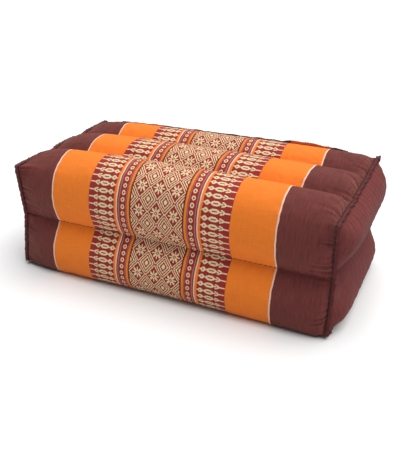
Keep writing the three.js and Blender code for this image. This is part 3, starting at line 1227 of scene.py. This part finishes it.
@dataclass
class StandingSeam:
    """A seam allowance that stands up as a ridge, overlocked along its edge and sewn at its foot."""

    height: float = 4.2
    thickness: float = 1.6
    lift: float = 0.2  # off the cover
    thread_radius: float = 0.25
    thread_sides: int = 4
    thread_sink: float = 0.4  # share of the radius that its middle lies off the cloth
    stitch: float = 2.9  # length of an overlock stitch
    thread_points: int = 8  # of a stitch
    bite: float = 0.3  # share of the height that the overlock covers
    overshoot: float = 1.06  # how far the overlock reaches over the edge, as a share of the bite
    foot_radius: float = 0.5  # of the doubled thread along the foot
    foot_sides: int = 5
    foot_height: float = 0.3
    foot_pitch: float = 6.2
    foot_sway: float = 0.7

    # Half of the ridge's section: share of the half thickness, and share of the height.
    PROFILE = ((1, 0), (1, 0.45), (0.8, 0.8))

    def ridge(self, seam: SeamLine, marks: np.ndarray) -> BMesh:
        """Makes the ridge.

        Args:
            seam: where it stands.
            marks: u of the cloth at each point, and once more at the first point if the seam is closed.

        Returns:
            A closed mesh with the Cloth UV map.
        """
        bm = bmesh.new()
        bm.loops.layers.uv.new(CLOTH)
        half = self.thickness / 2
        profile = [(-half * side, up) for side, up in self.PROFILE]
        profile += [(0, 1), *((half * side, up) for side, up in reversed(self.PROFILE)), profile[0]]
        places = np.stack([
            seam.base + seam.rise * (self.lift + up * seam.heights[:, None]) + seam.across * side
            for side, up in profile])
        if seam.closed:
            places = np.concatenate([places, places[:, :1]], 1)
        cloth = np.stack([
            np.stack([marks, np.full(len(marks), up * self.height + side)], -1) for side, up in profile])
        bmesh.ops.remove_doubles(bm, verts=list(lay_grid(bm, places, cloth)), dist=MERGE * MM)
        if not seam.closed:
            bmesh.ops.holes_fill(bm, edges=[edge for edge in bm.edges if edge.is_boundary], sides=0)
        bmesh.ops.recalc_face_normals(bm, faces=bm.faces[:])
        return bm

    def threads(self, seam: SeamLine) -> BMesh:
        """Makes the overlock that winds round the ridge's edge and the thread along its foot.

        Args:
            seam: where the ridge stands.

        Returns:
            A mesh of the two threads.
        """
        bm = bmesh.new()
        length, points, half = seam.run()[-1], self.thread_points, self.thickness / 2
        count = round(length / self.stitch) * points
        base, rise, across, tall = seam.spread(np.linspace(0, length, count, endpoint=not seam.closed))
        angle = (FULL_TURN * np.arange(count) / points)[:, None]
        low, reach = 1 - self.bite, half + self.thread_sink * self.thread_radius
        up = self.lift + tall * (low + self.overshoot * self.bite * (0.5 - 0.5 * np.cos(angle)))
        path = base + rise * up + across * reach * np.sin(angle)
        middle = base + rise * (self.lift + tall * (low + 0.5 * self.bite))
        sweep(bm, path, path - middle, self.thread_radius, self.thread_sides, seam.closed)
        count = round(length / self.foot_pitch) * points
        base, rise, across, tall = seam.spread(np.linspace(0, length, count, endpoint=not seam.closed))
        sway = self.foot_sway * np.sin(FULL_TURN * np.arange(count) / points)[:, None]
        aside = half + 0.5 * self.foot_radius + sway
        foot = base + rise * (self.lift + self.foot_height) - across * aside
        sweep(bm, foot, rise, self.foot_radius, self.foot_sides, seam.closed)
        bmesh.ops.recalc_face_normals(bm, faces=bm.faces[:])
        return bm

    def dress(
        self, names: tuple[str, str], node: str, seam: SeamLine, marks: np.ndarray,
        materials: tuple[Material, Material],
    ) -> None:
        """Makes the two pieces of the seam.

        Args:
            names: of the ridge and of its threads.
            node: what the ridge replaces.
            seam: where it stands.
            marks: u of the cloth along the ridge.
            materials: of the ridge and of its threads.
        """
        ridge = finish_mesh(names[0], self.ridge(seam, marks), materials[:1])
        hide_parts(node)
        threads = finish_mesh(names[1], self.threads(seam), materials[1:])
        for piece in (ridge, threads):
            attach(piece, "root")


@dataclass
class EndSeam(StandingSeam):
    """The ridge all round one end."""

    side: Side = Side.RIGHT
    lean: float = 66.0  # degrees, from square to the wrap towards the end
    uneven_height: float = 0.1
    uneven_lean: float = 0.16
    uneven_waves: tuple[int, ...] = (37, 62, 85, 104)  # how many go round the end
    wave_sizes: tuple[float, float] = (0.4, 1.0)
    lean_lag: int = 9  # points by which the lean's waves trail those of the height
    corner_fan: int = 9  # points over which the ridge turns a corner
    seed: int = 11

    def build(self, shape: CoverShape, cotton: Material, thread: Material) -> None:
        """Makes the ridge and its threads.

        Args:
            shape: the sewn cover.
            cotton: the ridge's material.
            thread: the threads' material.
        """
        sewn = shape.sewn_outline()
        half_step = 0.5
        fine = np.arange(0, len(sewn) - 1, half_step)
        line = np.stack([np.interp(fine, np.arange(len(sewn)), sewn[:, k]) for k in range(2)], -1)
        ahead = unit(np.roll(line, -1, 0) - np.roll(line, 1, 0))
        reach = self.corner_fan // 2
        ahead = unit(sum(np.roll(ahead, k, 0) for k in range(-reach, reach + 1)))
        outward = np.stack([np.zeros(len(line)), -ahead[:, 1], ahead[:, 0]], -1)
        random = np.random.default_rng(self.seed + self.side.value)
        turn = np.linspace(0, FULL_TURN, len(line), endpoint=False)
        waves = sum(
            np.sin(turn * k + random.uniform(0, FULL_TURN)) * random.uniform(*self.wave_sizes)
            for k in self.uneven_waves)
        tilt = (np.radians(self.lean) + self.uneven_lean * np.roll(waves, self.lean_lag))[:, None]
        end = np.array([float(self.side.value), 0, 0])
        base = np.concatenate([np.full((len(line), 1), self.side.value * shape.length / 2), line], -1)
        base = shape.twisted(base)
        seam = SeamLine(
            base, outward * np.cos(tilt) + end * np.sin(tilt), end * np.cos(tilt) - outward * np.sin(tilt),
            self.height * (1 + self.uneven_height * waves), True)
        word = self.side.word
        self.dress(
            ("end_ridge_" + word, "overlock_" + word), "seam_" + word, seam, seam.run(), (cotton, thread))


@dataclass
class ClosingSeam(StandingSeam):
    """The ridge along the top of the back, where the wrap meets itself wrong side out."""

    lift: float = -0.4
    foot_radius: float = 0.3
    short: float = 24.0  # distance of its ends from the end seams

    # How high the ridge stands along the cushion: it is folded down but for a stretch on the right.
    PLACES = (-144, -134, 40, 72, 75, 96, 118, 132, 144)
    HEIGHTS = (0.4, 1.6, 1.8, 2.0, 4.2, 3.6, 2.6, 2.4, 0.4)
    # Its edge is wavy: share of the height, and length of a wave over a full turn.
    WAVES = ((0.08, 7.0), (0.06, 3.1))

    def build(self, block: PaddedBlock, cover: Mesh, cloth: Material, thread: Material) -> None:
        """Makes the ridge in the wrap's own stripes, and its threads.

        Args:
            block: the padded block.
            cover: its filled cover.
            cloth: the ridge's material, the wrap's stripes darkened as painted shade.
            thread: the threads' material.
        """
        base, across, rise = block.seam_line(cover, 0)
        keep = np.abs(base[:, 0]) < block.shape.length / 2 - self.short
        base, across, rise = base[keep], across[keep], rise[keep]
        x = base[:, 0]
        wavy = 1 + sum(share * np.sin(x / length) for share, length in self.WAVES)
        heights = np.interp(x, self.PLACES, self.HEIGHTS) * wavy
        self.dress(
            ("closing_ridge", "overlock_back"), "seam_back", SeamLine(base, rise, across, heights, False),
            x + block.pattern_shift()[-1], (cloth, thread))


@dataclass
class ChannelStitches:
    """Running stitches that hold the wrap down in its channels."""

    pitch: float = 5.0
    shown: float = 0.72  # share of a stitch that lies on the cloth
    radius: float = 0.3
    proud: float = 0.25  # how high its middle lies on the cloth
    sunk: float = 0.6
    points: int = 9  # of a stitch
    sides: int = 5

    def build(self, block: PaddedBlock, cover: Mesh, thread: Material) -> Piece:
        """Makes the stitches of all the channels.

        Args:
            block: the padded block.
            cover: its filled cover.
            thread: the stitches' material.

        Returns:
            The piece.
        """
        bm = bmesh.new()
        for step in block.shape.channels:
            base, across, rise = block.seam_line(cover, step)
            seam = SeamLine(base, rise, across, np.zeros(len(base)), False)
            length = seam.run()[-1]
            count = round(length / self.pitch) * self.points
            points, outward, _, _ = seam.spread(np.linspace(0, length, count))
            phase = np.arange(count) % self.points / self.points
            up = np.where(phase < self.shown, self.proud, -self.sunk)[:, None]
            sweep(bm, points + outward * up, outward, self.radius, self.sides, False)
        bmesh.ops.recalc_face_normals(bm, faces=bm.faces[:])
        piece = finish_mesh("channel_stitches", bm, [thread])
        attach(piece, "root")
        return piece


@dataclass
class Studio:
    """Pale floor, soft light from above and the camera of the photograph."""

    floor_half: float = 8.0  # metres
    azimuth: float = 24.64  # degrees
    elevation: float = 26.19
    place: tuple[float, float, float] = (0.2656, -0.5774, 0.3543)
    frame_height: float = 451.0  # pixels of the photograph
    focal: float = 640.0  # pixels
    sensor: float = 36.0  # millimetres
    sky: float = 0.15
    sky_colour: str = "ffffff"
    sun: float = 4.4
    sun_from: tuple[float, float, float] = (0.2, 0.2, 1.0)
    sun_angle: float = 75.0  # degrees, wide, so that shadows are soft

    def build(self, paint: Material) -> None:
        """Makes the floor, the light and the camera.

        Args:
            paint: the floor's material.
        """
        scene = bpy.context.scene
        bm = bmesh.new()
        bmesh.ops.create_grid(bm, x_segments=4, y_segments=4, size=self.floor_half)
        finish_mesh("floor", bm, [paint])
        world = bpy.data.worlds.new("Studio")
        world.use_nodes = True
        background = world.node_tree.nodes["Background"]
        background.inputs["Color"].default_value = linear(self.sky_colour)
        background.inputs["Strength"].default_value = self.sky
        scene.world = world
        light = bpy.data.lights.new("Soft key", "SUN")
        light.energy = self.sun
        light.angle = math.radians(self.sun_angle)
        key = bpy.data.objects.new("Soft key", light)
        key.rotation_euler = Vector(self.sun_from).to_track_quat("Z", "Y").to_euler()
        scene.collection.objects.link(key)
        lens = bpy.data.cameras.new("Camera")
        lens.sensor_width = self.sensor
        lens.lens = self.focal * self.sensor / self.frame_height
        camera = bpy.data.objects.new("Camera", lens)
        a, e = math.radians(self.azimuth), math.radians(self.elevation)
        back = Vector((math.sin(a) * math.cos(e), -math.cos(a) * math.cos(e), math.sin(e)))
        camera.location = self.place
        camera.rotation_euler = (-back).to_track_quat("-Z", "Y").to_euler()
        scene.collection.objects.link(camera)
        scene.camera = camera
        scene.view_settings.view_transform = "Standard"


def main() -> None:
    """Builds the cushion piece by piece and sets it in the studio."""
    logging.basicConfig(level=logging.INFO, format="%(name)s: %(message)s")
    wrap, cotton = BrocadeCotton().material(), ShotCotton().material()
    thread = OverlockThread().material()
    # The closing ridge's cloth is the wrap's stripes, darker and redder, as painted shade for the shadow on
    # the ridge.
    painted_shade_wrong_side = BrocadeCotton(
        name="Brocade cotton wrong side with painted shade", orange="c04f20", red="4a1c1a", cream="5a2620", pink="a8542e",
        maroon_dark="3a1c1d", maroon_light="4e2626").material()
    brick_thread = OverlockThread("Brick spun thread", dark="4a1613", light="8c321c").material()
    Studio().build(PaleFloor().material())
    shape = CoverShape()
    block = PaddedBlock(shape, Filling())
    cover = block.build()
    block.fill(cover)
    sewn = block.sew(cover)
    block.dress(sewn, wrap)
    for side in Side:
        EndPanel(side).build(shape, sewn, cotton)
    EndSeam(side=Side.RIGHT).build(shape, cotton, thread)
    left = EndSeam(side=Side.LEFT, height=3.8, uneven_height=0.05, uneven_lean=0.08)
    left.build(shape, cotton, thread)
    ClosingSeam().build(block, cover, painted_shade_wrong_side, brick_thread)
    ChannelStitches().build(block, cover, brick_thread)
    sewn.free()


if __name__ == "__main__":
    main()
